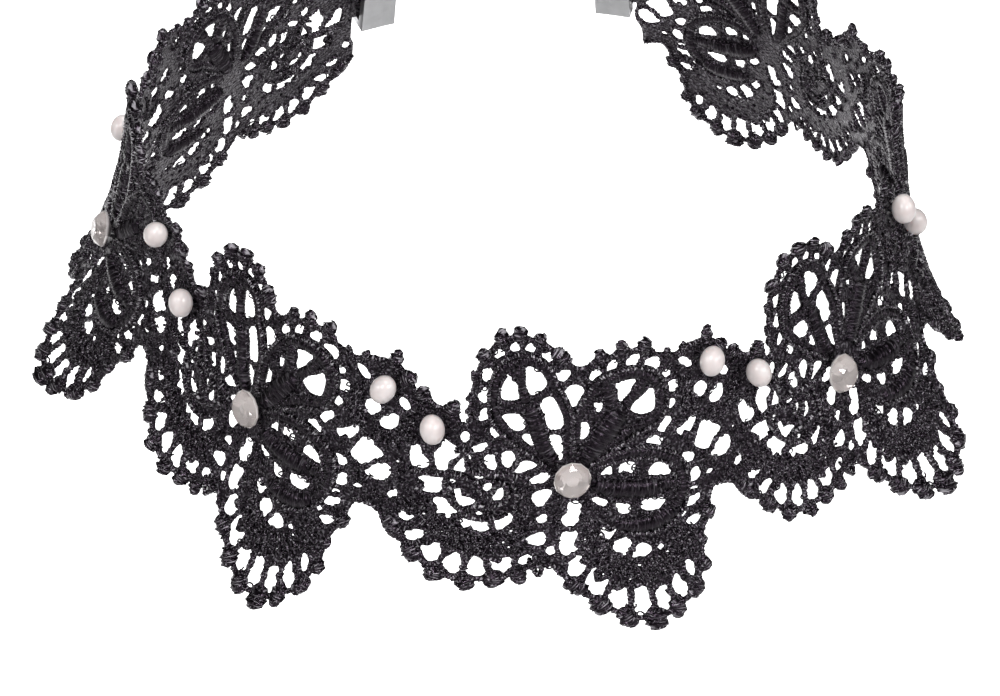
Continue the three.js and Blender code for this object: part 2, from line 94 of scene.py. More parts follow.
# The chart of one repeat, in stitches from its crystal. Each row is one open gap.
GAPS = """
16.9,8.5 18.1,9.2 18.9,8 17.8,6.9
-22,10.3 -21.2,10 -20.6,8.9 -21.2,8.6 -21.9,9.3
19.3,6.9 21.1,7.7 21.3,6.2 20.6,5.4 19.4,5.6
-19.6,3.4 -18.8,3.8 -18.2,2.5 -17.3,1.5 -17.5,.6 -19.2,.6
-15.6,5.1 -14.7,4.5 -13.4,4 -13.9,2.7 -14.9,1.9 -15,.5 -16,.6 -16.6,2.8 -15.9,4
-12.4,3.2 -12.2,2.4 -12.7,.9 -13.3,-.2 -14,.5 -13.5,1.9
-13.1,6.7 -12.5,5.9 -13,4.9 -13.6,5.5
-12.1,4.2 -10.2,5.1 -10.6,4 -11.9,3.6
-11.1,10 -10,10.2 -9.6,9.2 -10.7,8.6 -11.4,8.3
-10.8,13.3 -10.4,11.9 -10.7,11 -11.8,11.7
-11.4,15.6 -10.5,16.2 -10,15 -10.5,14.1 -11.2,14.3
-9.7,17.4 -9.4,18.7 -8.3,18.2 -9,17.8
-7.5,19 -6.9,19.9 -6.2,18.8 -7,18.5
-5.3,19 -4.4,19.7 -3.9,19.3 -4.5,18.2
-2.9,18.2 -2,18.3 -1.6,17.6 -1.9,17 -2.7,17.1
-1.6,15.4 .4,15.5 .5,14.9 -.3,14 -1.3,14.6
-8.3,15 -7.6,15 -6.1,12.9 -6.1,11.2 -8.7,11.9 -8.8,13.7
-5.3,15.6 -4.9,16.4 -3.9,15.9 -2.9,15.2 -2.5,14.1 -3.1,13 -4.4,12.3 -5.1,13
-3.3,10.9 -2.2,11.9 -1.1,10.8 -.5,9 -.9,7.2 -2.3,7.1 -2.7,8.8
-8.3,9.3 -6.2,9.4 -5.5,8.3 -5.7,7.2 -6.9,7.2 -8,8.6
-10,7.1 -8.8,7.5 -8.6,6.6 -9.2,5.9
-5.7,6.3 -4.9,6.5 -4.2,5.2 -4.5,4.7 -5.3,5.3
-2.5,6 -1.2,6 -.9,4.5 -1,2.6 -1.5,2.3 -2.2,4.5
-.4,12.2 .8,13.3 2.1,12.6 1.7,11.3 .7,10 .1,11.3
.7,6.2 1.9,7.7 2.5,6.6 1.9,5.2 1.2,5.4
3,13.7 3.6,15.1 4.5,14.5 4,13.7
5.3,14.5 5.6,15.6 6.5,16 6.3,14.8
7.8,15.2 8.4,16 9.5,16 9.3,15 8.5,14.3
10.1,14.7 11.7,15 12.2,14.4 12.2,13.5 11.4,13.1 10.7,13.6
12.5,12.3 13.1,12.6 13.7,12 13,11.6
12.9,10.4 14.2,10.8 14.5,10 14.2,9.2 13.1,9.4
12.9,7.4 13.5,8.4 14,7.8 13.3,6.8
6.3,12.5 8.8,12.5 8.1,11.5 7.6,10 6.5,10 6.5,11.5
7.9,8 8.6,9.3 9.9,10 10.6,10.7 11.1,10 11,8 10.5,7.2 9.2,7.3
3.4,10.2 4.2,10.2 4.2,9.4 3.8,8.7
6.7,4.6 7.2,5.2 7.9,4.8 7.8,4.2 6.9,4.1
11.2,4.4 12.6,5.9 13.1,5 12.3,4.3 12,3.7
9.5,2.6 10.2,3.6 11.6,3 11.5,2.1 10.5,1.7
13.8,3.6 14.5,3.6 16.3,4.7 16.6,4 15.5,2.5 15,3 14.3,2.4
15,13.6 15.9,13.5 16.9,12.4 16.7,11.9 15.9,12.3
-18.2,-1.2 -16.8,-.6 -15.2,-.4 -15.2,-1.8 -15,-2.8 -16.3,-3.1 -17.5,-2.9 -17.4,-1.9
-16.1,-4.2 -14.9,-3.4 -14.2,-3.8 -13.7,-4.9 -12.9,-5.6 -13.9,-6 -14,-6.9 -14.6,-5.9 -15.3,-6.2 -15.5,-4.9
-14.4,-1.6 -14.2,-.8 -13.7,-1
-13.7,-2.6 -13.2,-2.1 -12.8,-3.3 -11.9,-3.4 -11,-4.1 -11.3,-4.8 -12.8,-4.6
-11.6,-.1 -10.6,.1 -10.5,-.3 -11.4,-.3
-9.9,-1.1 -9.3,-1 -9.7,-2.2 -10.4,-1.9
-8.4,-1.7 -8,-2 -8.2,-3.4 -9.2,-3.5 -8.8,-2.6
-11,-5.7 -10.6,-5.4 -10.3,-5.7 -10.6,-6
-12.6,-6.6 -11.6,-6.9 -10.4,-6.8 -9.4,-7.1 -9.6,-8.1 -10.8,-8.3 -11.4,-7.5 -12.2,-7.9
-8.8,-6.6 -7.1,-5.6 -7,-6.8 -7.7,-7.5 -8.3,-8.1 -8.8,-7.5
-21.6,-4.7 -21.1,-3.7 -20.5,-3.6 -20.6,-4.7
-19.8,-6.5 -18.9,-6.8 -17.9,-7 -18.6,-7.7 -19.5,-7.6
-18.3,-9.1 -17,-8.9 -16.2,-9.3 -16.9,-9.9 -17.9,-10.5 -18.6,-9.9
-16.6,-11.1 -15.6,-10.8 -14.8,-10.4 -14.5,-11.7 -14.7,-12.8 -15.6,-13.1 -16.2,-12.2
-14.1,-12.9 -13.4,-12.2 -12.6,-11.6 -12.2,-13.3 -12.6,-14.6 -13.5,-14.2
-11.3,-13 -10.7,-12 -9.9,-12.8 -9.5,-13.6 -9.8,-14.9 -10.9,-14.7 -11.5,-14.1
-9.2,-12.6 -8.6,-13 -8,-13.1 -7.6,-12.2 -6.8,-12.4 -7,-13.6 -7.8,-14.4 -8.8,-13.7
-6.2,-12.6 -5,-11.8 -4.8,-12.7 -5.7,-13.2
-.3,-4.3 .9,-4.5 .8,-6 .4,-7.5 -.6,-8 -1.3,-6.7 -.6,-6
-1.1,-8.8 .3,-8.7 .2,-9.8 -.1,-11.1 .5,-11.5 -.2,-11.8 -.9,-12.3 -1.5,-11.6 -1.5,-10
-.5,-12.9 .6,-12.4 .6,-13.4 1.2,-14 .6,-15.1 -.2,-15.5 -.8,-14.9 -.6,-13.8
1.9,-14.5 2.3,-14.7 2.2,-15.8 2.9,-16.4 3.5,-16.3 3.1,-17.6 2.6,-18.7 1.9,-18.5 1.2,-17.2 \
1.1,-16.1 1.5,-15.3
2.5,-15.3 2.9,-15.1 3,-15.8 2.5,-15.9
3.8,-18 4.6,-18.4 5.4,-18 5.7,-19.3 5.4,-20.3 4.7,-21 3.6,-20.1 3.4,-19
6.2,-18.7 7.4,-18.1 7.9,-19.3 8.2,-20.7 7.5,-21.6 7,-22.3 6.4,-21.9 6.2,-20.3
8.7,-19.3 9.8,-18.5 10.3,-19.3 10.3,-21 9.9,-22 9.3,-21.8 8.8,-20.8
11.5,-17.1 11.9,-18.2 12.6,-19.1 12.3,-20.7 11.9,-20.5 11.3,-19.8 10.7,-19.6 11,-18.3
12.9,-15.6 13.7,-16.2 13.7,-17.9 13.2,-17.7 12.9,-16.6
5,-10.7 5.9,-10.6 6.5,-11.6 6.1,-12.6 5.7,-13.3 5.2,-12.6 4.6,-12.4 4.5,-11.4
7.4,-12 8.1,-12 8.9,-13 8,-13.8 7.4,-13.7 6.6,-13.8 6.6,-13
9.7,-12.9 10,-12.5 10.4,-12.9 10,-13.3
3.4,-8.5 3.9,-9.4 4.9,-9.2 4.2,-10.2 3.9,-10.7 3.5,-9.9 2.9,-9.7
5,-5.3 5.8,-5.6 6.7,-5.9 6.6,-7 5.6,-6.9 5.4,-6.1
8.3,-5.8 9.9,-5.6 11.3,-6.1 10.8,-6.8 10.4,-7.3 8.9,-7.2 8.3,-6.7
13,-9.2 13.3,-8.5 13.8,-8.8 13.3,-9.3
13.8,-9.9 15.6,-9.6 15.4,-10.3 14.9,-10.8 14.1,-10.7
-8.5,3.1 -7.4,4 -6.7,3.1 -6.9,2.2 -7.5,1.4 -8.2,2.1
-10.3,3.1 -9.1,3.2 -8.9,2.2 -9.2,1 -10.1,1.6
-6.8,.5 -6,2.1 -5,2.4 -4,1.7 -5,1.1
-5,-.8 -3.4,.5 -2.5,.1 -3,-.8 -3.9,-1.1
-4.5,-2.8 -3.2,-2.1 -2.3,-2.4 -2.9,-3.6 -3.6,-4.7 -4.3,-4.1
-3.4,-5.8 -2.9,-6.4 -3.5,-7.2 -4.2,-6.7
-5.2,-9.4 -4.1,-8.7 -3.4,-8.6 -3.2,-9.5 -3.6,-10.5 -4.5,-10.3 -5.2,-10
2.4,-4.3 2.8,-3.9 4.2,-5 3.8,-5.5 3.1,-5.1
-3.1,-11 -2.3,-10.8 -2.2,-11.7 -2.8,-12
3.5,-.8 4.3,.2 5,.4 4.9,-.8 4.2,-.6
5.7,-.9 6,.4 7.7,.3 7.4,-1.2 6.4,-.5
9.4,-1.9 10.3,-.6 11.8,-1 12.4,-2.5 11.2,-2.5 9.9,-2.1
14.3,-.3 15.8,-.8 15.4,-1.8 14.4,-1.4
14.6,-4.5 14.9,-3.6 15.9,-2.8 16.4,-4 15.7,-4.7
14.6,-6.2 14.9,-5.6 15.7,-5.7 15.6,-6.2
13.9,-8 14.5,-6.9 15.8,-6.7 15.8,-7.4 15,-8
17.2,-4.3 17.6,-3.9 18.4,-4.1 17.9,-4.4
16.2,.4 16.6,1.5 17.5,3.3 18.6,3.1 19,2.4 20.2,1.5 19.6,.6 18.8,0 18,-.8 16.9,-.4
18.3,-1.9 19,-1.3 19.4,-.4 20.6,.1 21.4,-.5 21.3,-1.8 20.2,-2.6
"""

# Pin-holes of the net: along, up and radius.
PINHOLES = """
-21,.8,.25 -17.9,-2.3,.28 -6.9,-8.2,.28 -16.9,-6.4,.22 -13.6,-9.6,.28 -10.5,-9.5,.3
-7.8,-9.9,.25 -7.2,-10.6,.25 -6.8,-11.4,.22 -12.6,-8.7,.22 1.1,-10.1,.28 2.6,-11.8,.25
1,-13.2,.28 4.4,-14.1,.28 7.2,-15,.3 8.1,-16.3,.28 9,-16.2,.28 7.3,-16.6,.22 10.8,-13.8,.3
11.2,-10,.25 14.9,-8.5,.28 -1,15.8,.18 2,-8.2,.22 -6.3,-8.8,.22 -11.5,-10.4,.22 8.6,-14.9,.22
-19.3,-5.6,.18 -18.2,-6,.2 -15.7,-7.7,.2 -14.6,-8.7,.17 -9.2,-10.4,.2 -16,-8.6,.16 -13.9,-10.8,.17
6,-16.8,.2 6.2,-15.3,.17 9.9,-15.1,.18 10.2,-16.4,.2 3,-13,.18 4.4,-15.3,.18 12.2,-12.7,.2
13,-11.2,.18 12,-14.7,.2 2.1,-9.9,.17 5.4,-14.6,.16 -5.6,-5.6,.17 -5.9,-3.2,.16 13.9,8.6,.17
"""

# The lower and upper edges of one repeat, and the seam where it meets the one before it.
LOWER = """-22.2,-6.8 -21.7,-7.8 -21.1,-9 -20.3,-9.9 -19.3,-10.4 -18.6,-10.9 -18.1,-12 -17,-12.3
-16.3,-13.2 -15.6,-14.1 -14.8,-14.8 -13.9,-14.9 -13.2,-15.1 -12.5,-15.4 -11.7,-15.7 -10.8,-15.3
-10,-15.2 -9.3,-15.3 -8.6,-15.3 -7.8,-15 -7.1,-14.7 -6.2,-14.7 -5.4,-13.8 -4.6,-13.5 -3.6,-13.6
-2.6,-13.4 -2,-14.3 -1.4,-15.1 -.8,-15.8 -.4,-16.8 .5,-17.8 1.4,-18.7 2.4,-20 3.3,-20.5 4.2,-21.3
5.2,-21.9 6,-22.4 6.9,-22.6 7.7,-22.7 8.5,-22.9 9.4,-22.6 10.2,-22.4 11.1,-21.9 11.9,-21.1
12.6,-20.8 13.5,-19.8 14.1,-18.6 14.6,-17.5 15.2,-16.6 15.2,-15 15.3,-13.2 15.8,-11.6
16.4,-10.6 16.8,-9.6 17,-8.4 17.3,-7.2 18,-6.2 19.5,-6.3 21,-6.8"""
UPPER = """-23,14.7 -21.9,13.6 -20.9,12.5 -20.3,11.4 -19.3,11.2 -18.3,10.7 -17.6,10 -16.6,9.7 -15.2,9.5
-14.4,8.8 -13.9,7.7 -12.9,7.6 -12.6,8.5 -12.9,9.6 -12.7,10.8 -12.7,12 -12.5,13.4 -12.3,14.8
-11.9,16.2 -11.2,17.6 -10.4,18.6 -9.7,19.5 -8.9,20.2 -7.7,20.4 -6.2,20.9 -4.9,20.3 -3.4,20
-2.2,19.2 -1.3,18.4 -.3,17.4 .6,16.3 1.5,15.6 2.7,15.6 3.6,16.2 4.6,16.7 5.7,16.5 6.6,17
7.5,17.4 8.5,16.8 9.3,16.8 10.3,16.9 11.2,16.2 11.9,15.3 12.7,15 13.5,14.9 14.4,14.5 15.2,14.6
16.1,15 17.3,15.1 18.5,15.1 20.2,14.7"""
SEAM = "-22.2,-6.8 -22.1,-4 -21.6,-2.8 -21.5,.3 -21.5,4 -21.3,7.4 -22,8.4 -22.9,9.5 -23,12 -23,14.7"

# Picots: along, up, half length, half width and the way that they point, in degrees.
PICOTS = """
-23.4,15.4,1.6,.85,84 -21.7,13.1,1.3,1.2,40 -19.2,11.3,1.2,.9,110 -15.2,9.6,1.3,1.2,80
-12.7,9.7,.7,.6,170 -12.7,11.6,.8,.6,180 -12.5,14.5,1.1,.6,100 -11.2,17.4,1.5,1.1,120
-9,20.3,1.2,1.1,115 -6.1,20.9,1.15,1.15,90 -3.3,20,1.1,1,70 -.5,17.5,1.6,1.05,130
4.5,16.8,1,.9,110 7.4,17.4,1.25,.85,85 10.3,17.1,1.1,1,70 13.4,15,.8,.6,60 15.8,15,.8,.6,90
-20.4,-8.8,1.7,.9,125 -17.8,-12.1,1.5,.95,-65 -14.8,-14.8,1.1,1.05,-110 -11.6,-15.8,1,1.05,-90
-8.6,-15.3,1.15,1.05,-90 -6.1,-14.9,1.1,.85,-90 -.1,-16.9,1.4,1.05,-55 2.4,-20,1.35,1.15,-60
5.3,-22.2,1.45,1.1,-70 8.5,-23.1,1.45,1.25,-90 11.2,-22,1.45,1,-100 13.7,-19.8,1.4,1,-130
15.2,-16.7,1.1,.8,-60 15.3,-13.2,1,.7,-60 16.8,-9.6,1.1,1,-60 -17.8,7.9,.7,.6,90
"""

# Thick satin cords: half width at start, middle and end, height, then the way they run.
SATINS = """
.8,1.15,1.1,.85|-1.6,1.8 -2.9,4 -3.5,6 -4.1,8.4 -4.8,10.6
.9,.6,.9,.7|-5,11 -5.7,12.8 -5.9,14.6 -6.2,16.6
.5,.45,.5,.5|-5.4,11.4 -7.2,11 -9,11.2
.4,.35,.4,.45|-5.5,10.3 -7.2,10.1 -8.9,9.9
.5,.5,.5,.5|-4.6,11.6 -3.4,12.1 -2,13
.9,1.7,1.5,1|1.4,1.6 3,3.8 4.8,6.2 6.6,8.4
.8,.75,.7,.7|6.9,8.8 8.3,10.2 9.4,11.4 10.2,12.6
.8,1,.8,.6|6.2,8.6 5.4,10.2 5.1,11.8 4.9,13.2
.45,.4,.4,.4|7,8.4 8.8,6.9 10.6,6.8 11.6,6.8
.45,.4,.4,.4|5,8.4 3.4,8.2 1.6,8.3
.9,1.45,1.3,1.15|2.3,-1.6 5,-2.9 8,-3.6 10.6,-3.9
1.1,.8,.6,.6|10.6,-3.9 12.2,-4 13.6,-4.3
.45,.4,.45,.45|5.3,1.2 5.3,-.6 5.2,-2
.45,.35,.45,.45|8.5,1.2 8.6,-.6 8.8,-2.6
.3,.25,.3,.35|7.2,-4.6 7.3,-6.2 7.4,-7.8
.3,.25,.3,.35|7.8,-4.6 7.8,-6.2 7.8,-7.8
.9,1.3,1.15,.9|4.7,-8.2 7.2,-8.9 9.8,-8.9 12.2,-7.9
.8,.9,.8,.6|12.2,-7.9 13.4,-6.4 13.9,-4.4 13.7,-2.2
.7,.75,.7,.65|2.4,1 5,1.6 8,1.9 10.6,1 12.8,-.6 13.7,-2.4
.6,.75,.75,.7|-9.6,10.4 -9.6,12.6 -9.3,14.4 -8.3,16.1 -6.6,17
.7,.75,.7,.6|-6.6,17 -4.6,17.2 -2.9,16.3 -1.9,14.6 -1.4,12.6
.6,.55,.5,.5|-1.4,12.6 -.4,10 .1,7.4 -.2,4.6 -.3,2.7
.6,.5,.5,.45|-9.6,10.4 -9,8.9 -7.9,7.2 -6.3,5.6 -4.6,4 -2.6,2.2
.5,.55,.6,.6|.5,3 1,6.2 1.3,8.6 2.5,10.8 4,12.7
.6,.75,.75,.65|4,12.7 6,13.5 8.6,13.5 10.6,12.5 12,10.6
.65,.7,.6,.5|12,10.6 12.1,8.6 11.4,6.6 9.6,5.7 8,5.5 5,3.8 2.6,2.2
"""

# Thin bright cords that outline the petals and the scroll, and cross the net: radius, then path.
CORDS = """
.27|-10.2,9.8 -10.3,12.4 -10,14.6 -9,16.8 -7.2,18 -5.2,18.2 -3.2,17.4 -1.8,15.8 -1,13.4 -.1,11.4 \
.5,9 .4,6 .2,3
.27|-10.2,9.8 -9.6,8.2 -8.3,6.6 -6.7,5 -5,3.6 -2.8,1.6
.25|-8.9,10.8 -8.8,13.6 -8,15.3
.27|.9,3 .5,5 .6,8 1.6,10.4 2.6,12 4,13.6 6,14.3 8.6,14.3 11,13.4 12.6,11.4 12.9,9 12.3,6.6 \
10.6,5.2 8.4,4.6
.27|8.4,4.6 6.2,3.4 4,2.2 2.4,1.2
.26|2.6,.6 5,1.1 8,1 10.4,.2 12.4,-1.2 12.8,-3.4
.27|3.2,2.1 6,2.6 8.6,2.6 11,1.7 13.2,.2 14.4,-1.8 14.6,-4.4 14,-6.8 12.8,-8.8 10.6,-10.2 \
7.6,-10.3 5,-9.4
.3|-14.9,.1 -15,-1.6 -14.5,-3.2 -13.6,-4.5 -12.6,-5.4 -11.4,-6.2 -9.9,-6.4 -8.6,-6.1 -7.4,-5.3
.28|-15,.1 -13.4,.1 -11.9,-.5 -10.8,-1.2 -10.7,-2.4 -9.8,-3 -9.1,-2.2 -9,-1 -8.2,-.7 -7.4,-1.6 \
-7.5,-3.2 -8.3,-4.4
.3|-14.2,3.6 -12.9,3.9 -12.6,2.2 -12.1,.8 -10.6,.5 -9,.4 -7.6,.5 -6.3,.1 -4.9,-.9
.28|-8.3,-4.4 -9.9,-4.6 -10.9,-4.5 -11.9,-5 -12.7,-5.3
.26|-6.8,5 -6.2,3.4 -6.4,2 -7.2,.8 -6.8,-1 -6.4,-3 -6.6,-5
.26|-11.4,3.3 -10.8,2 -10.7,.8
.28|-19.9,.2 -17.9,-.1 -16,-.2 -14.8,0
.25|-18.5,-1.7 -18,-1.8 -17.5,-2.3 -17.9,-2.8 -18.4,-2.6
.28|-15.2,-3 -14.5,-3.2 -14.2,-2.4 -14.6,-1.6
.11|9.9,-5.5 12,-5.9 14.8,-6.4 18.5,-6 21,-6.8
.11|-22.6,5.2 -21.6,4.6 -20.9,3.2
.24|-5,-12.6 -4.5,-14 -4,-14.8 -3.7,-14.2 -3.6,-13.3
"""

# Where the net has a dense band of looped thread: centre line with its half width.
BANDS = """
-20.6,-5.6,1.1 -18.8,-5.2,1.2 -17,-6.6,1.4 -15.2,-8.4,1.4 -13,-9.4,1.4 -10.6,-10.1,1.4 \
-8.4,-9.9,1.5 -6.2,-9.2,1.2 -5.2,-7,1
1.6,-6,.8 2,-8.5,.9 2.4,-11,1.4 3.6,-13.6,1.3 5.4,-15.8,1.5 8,-15.8,1.6 10.4,-15.4,1.6 \
12.2,-13.6,1.4 13.2,-11.4,1.3
-25,4.6,1.1 -22.9,3.4,1 -20.6,4,1 -20.6,6.6,.8 -19.9,7.4,.6
15.4,11,1.2 15.2,8.6,1.2 15.6,6.4,1.1 17.2,5,.9
-6,-1.4,.7 -5.6,-4,.7 -5.4,-6.6,.7
"""


def chart(text):
    """Charted points, as one array for each line."""
    return [
        np.array([[float(v) for v in point.split(",")] for point in line.split()])
        for line in text.strip().splitlines()
    ]


def one(text):
    """The charted points of all the lines, as one array."""
    return np.concatenate(chart(text))


def routes(text):
    """Charted cords, each as its sizes and the points of its way."""
    rows = [line.split("|") for line in text.strip().splitlines()]
    return [([float(v) for v in sizes.split(",")], one(way)) for sizes, way in rows]


def eased(before, here, after, last, share):
    """Values a share of the way from here to after, on the smooth line through all four."""
    slope = (after - before) * share
    bend = (2 * before - 5 * here + 4 * after - last) * share**2
    curl = (3 * here - 3 * after + last - before) * share**3
    return here + 0.5 * (slope + bend + curl)


def fold_at(place, column):
    """A column of the folds at places along the band, eased from row to row."""
    table = np.concatenate([[0, 0], FOLDS[:, column], [0, 0, 0]])
    steps = np.clip((place - FOLDS[0, 0]) / FOLD_STEP, -1, len(FOLDS))
    row = np.floor(steps).astype(int)
    near = (table[np.clip(row + 2 + i, 0, len(table) - 1)] for i in (-1, 0, 1, 2))
    return eased(*near, steps - row)


def on_neck(along, up, out):
    """Carries points of the flat band, in millimetres, to the neck, in metres."""
    place = along / PITCH
    level = up / (LACE_HEIGHT / 2)
    shift, bulge, rise, added, curl, nod, lean = (fold_at(place, i) for i in range(1, 8))
    flare = np.radians(LACE_FLARE + added)
    turn = (along + (shift + lean * level) * PITCH) / NECK_RADIUS
    bend = np.where(level < 0, curl, nod) * LACE_HEIGHT * level**2
    radius = NECK_RADIUS * (1 + bulge) + bend - up * np.sin(flare) + out * np.cos(flare)
    height = rise * LACE_HEIGHT + up * np.cos(flare) + out * np.sin(flare)
    return np.stack([radius * np.sin(turn), -radius * np.cos(turn), height], -1) * MM


# How many samples a smooth line has from one charted point to the next, and how many points are
# measured at once.
SPAN_SAMPLES = 12
BATCH = 400


def run_of(path):
    """How far along a line each of its points lies."""
    return np.concatenate([[0], np.cumsum(np.linalg.norm(np.diff(path, axis=0), axis=1))])


def resampled(at, where, values):
    """Rows of values between the rows that are known at the places where."""
    return np.stack([np.interp(at, where, column) for column in values.T], 1)


def smooth(points, step, closed=False):
    """A smooth line through charted points, with samples about a step apart."""
    if closed:
        around = np.concatenate([points[-1:], points, points[:2]])
    else:
        before, after = 2 * points[:1] - points[1:2], 2 * points[-1:] - points[-2:-1]
        around = np.concatenate([before, points, after])
    share = np.linspace(0, 1, SPAN_SAMPLES, endpoint=False)[:, None]
    spans = [eased(*around[i : i + 4], share) for i in range(len(around) - 3)]
    line = np.concatenate(spans + [points[:1] if closed else points[-1:]])
    run = run_of(line)
    count = max(4, int(round(run[-1] / step)) + 1)
    # A closed line has an even number of sides, so that raised and sunk rings take turns.
    if closed and count % 2 == 0:
        count += 1
    result = resampled(np.linspace(0, run[-1], count), run, line)
    return result[:-1] if closed else result


def circle(x, y, r, sides):
    """Points round a pinhole."""
    angle = np.arange(sides) * 2 * np.pi / sides
    return np.stack([x + r * np.cos(angle), y + r * np.sin(angle)], 1)


def directions(path, closed):
    """The way that a line runs at each of its points."""
    ahead = np.roll(path, -1, 0) - np.roll(path, 1, 0) if closed else np.gradient(path, axis=0)
    return ahead / (np.linalg.norm(ahead, axis=1)[:, None] + 1e-9)


def left_of(ahead):
    """Directions turned a quarter to the left."""
    return np.stack([-ahead[..., 1], ahead[..., 0]], -1)


def shrunk(polygon, by):
    """A polygon with its sides moved inwards, or outwards where the distance is below 0."""
    return polygon + by * left_of(directions(polygon, closed=True))


def inside(points, polygon):
    """Which points lie inside a polygon."""
    x, y = points.T
    result = np.zeros(len(points), bool)
    for (x0, y0), (x1, y1) in zip(polygon, np.roll(polygon, -1, 0)):
        crosses = (y0 > y) != (y1 > y)
        at = (x1 - x0) * (y - y0) / (y1 - y0 + 1e-12) + x0
        result ^= crosses & (x < at)
    return result


def to_edges(points, lines):
    """Each point's distance to the nearest side of the closed lines or point of the open ones."""
    a = np.concatenate([line for line, _ in lines])
    b = np.concatenate([np.roll(line, -1, 0) if closed else line for line, closed in lines])
    d = b - a
    squared = (d**2).sum(1) + 1e-12
    result = np.empty(len(points))
    for i in range(0, len(points), BATCH):
        p = points[i : i + BATCH, None, :]
        t = np.clip(((p - a) * d).sum(-1) / squared, 0, 1)[..., None]
        result[i : i + BATCH] = np.linalg.norm(p - a - t * d, axis=-1).min(1)
    return result


class Flat:
    """Cords of one repeat: points along and up in stitches and out in millimetres, with their
    faces and thread coordinates."""

    # How far a ring of thread leans along its cord.
    LEAN = 0.1

    def __init__(self):
        self.points, self.faces, self.threads, self.count = [], [], [], 0

    def add(self, points, faces, threads):
        self.points.append(points)
        self.threads.append(threads)
        self.faces.append(faces + self.count)
        self.count += len(points)

    def tube(self, path, wide, high, lift=0.0, closed=False, sides=8, ribs=0.12, twist=0.0,
             lumps=0.0):
        """A cord along a path. Its thread stands proud at every other ring, or, where twist is
        the length of a half turn, in two plies that wind round each other."""
        m = len(path)
        ahead = directions(path, closed)
        wide, high, lift = (np.broadcast_to(v, m).astype(float)[:, None] for v in (wide, high, lift))
        run = run_of(path)
        angle = np.arange(sides) * 2 * np.pi / sides
        if twist:
            length = run[-1] + (np.linalg.norm(path[0] - path[-1]) if closed else 0)
            turn = np.pi * max(1, round(length / twist)) * run / length
            swell = 1 + ribs * np.cos(2 * (angle - turn[:, None]))
        else:
            swell = (1 + ribs * (1 - 2 * (np.arange(m) % 2)))[:, None] * np.ones((1, sides))
        if lumps:
            swell = swell * rng.uniform(1 - lumps, 1 + lumps, (m, 1))
            swell = swell * rng.uniform(1 - lumps, 1 + lumps, (m, sides))
        # The wrap leans, so the ring's two halves stand a little ahead and behind.
        lean = self.LEAN * np.sin(angle)[:, None] * ahead[:, None, :]
        across = (wide * swell * np.cos(angle))[..., None] * left_of(ahead)[:, None, :]
        flat = path[:, None, :] + across + lean
        out = lift + high * swell * np.sin(angle)
        points = np.concatenate([flat, out[..., None]], -1).reshape(-1, 3)
        threads = np.stack([np.repeat(run, sides), np.tile(angle / (2 * np.pi), m)], -1)
        ring, place = np.meshgrid(np.arange(m if closed else m - 1), np.arange(sides), indexing="ij")
        after, beside = (ring + 1) % m, (place + 1) % sides
        corners = [(ring, place), (after, place), (after, beside), (ring, beside)]
        faces = np.stack([i * sides + j for i, j in corners], -1).reshape(-1, 4)
        if not closed:
            # The ends are fans of triangles, each with its last corner twice.
            points = np.concatenate([points, [[*path[0], *lift[0]], [*path[-1], *lift[-1]]]])
            threads = np.concatenate([threads, [[run[0], 0], [run[-1], 0]]])
            place = np.arange(sides)
            beside = (place + 1) % sides
            last = (m - 1) * sides
            start, end = np.full(sides, m * sides), np.full(sides, m * sides + 1)
            first_fan = np.stack([place, beside, start, start], 1)
            last_fan = np.stack([last + beside, last + place, end, end], 1)
            faces = np.concatenate([faces, first_fan, last_fan])
        self.add(points, faces, threads)

    def merged(self):
        return np.concatenate(self.points), np.concatenate(self.faces), np.concatenate(self.threads)


def lace_object(name, flat, repeats, material):
    """Sets copies of one repeat round the neck as one piece."""
    points, faces, threads = flat.merged()
    along, up, out = points.T
    copies = [on_neck(k * PITCH + along * STITCH, up * UP, out) for k in repeats]
    faces = np.concatenate([faces + i * len(points) for i in range(len(copies))])
    threads = np.tile(threads, (len(copies), 1))
    return make_mesh(name, np.concatenate(copies), faces, threads, material)


def make_mesh(name, points, faces, threads, material):
    """A smooth piece of the lace. A face whose last two corners are the same is a triangle."""
    is_triangle = faces[:, 2] == faces[:, 3]
    quads, triangles = faces[~is_triangle], faces[is_triangle][:, :3]
    mesh = bpy.data.meshes.new(name)
    mesh.vertices.add(len(points))
    mesh.vertices.foreach_set("co", points.astype(np.float32).ravel())
    loops = np.concatenate([quads.ravel(), triangles.ravel()])
    mesh.loops.add(len(loops))
    mesh.loops.foreach_set("vertex_index", loops.astype(np.int32))
    mesh.polygons.add(len(faces))
    starts = np.concatenate(
        [np.arange(len(quads)) * 4, len(quads) * 4 + np.arange(len(triangles)) * 3]
    )
    mesh.polygons.foreach_set("loop_start", starts.astype(np.int32))
    mesh.polygons.foreach_set("use_smooth", np.full(len(faces), True))
    mesh.update(calc_edges=True)
    mesh.validate()
    layer = mesh.uv_layers.new(name="thread")
    index = np.empty(len(mesh.loops), np.int32)
    mesh.loops.foreach_get("vertex_index", index)
    layer.data.foreach_set("uv", threads[index].astype(np.float32).ravel())
    mesh.materials.append(material)
    piece = bpy.data.objects.new(name, mesh)
    bpy.context.scene.collection.objects.link(piece)
    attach(piece, "root")
    return piece


# Materials.
def set_inputs(node, inputs):
    for name, value in inputs.items():
        node.inputs[name].default_value = value


def nodes_of(name, inputs):
    """A new material, its node tree and its shader with these inputs."""
    material = bpy.data.materials.new(name)
    material.use_nodes = True
    tree = material.node_tree
    shader = tree.nodes["Principled BSDF"]
    set_inputs(shader, inputs)
    return material, tree, shader


def add(tree, kind, inputs):
    node = tree.nodes.new(kind)
    set_inputs(node, inputs)
    return node


def link(tree, a, out, b, into):
    tree.links.new(a.outputs[out], b.inputs[into])


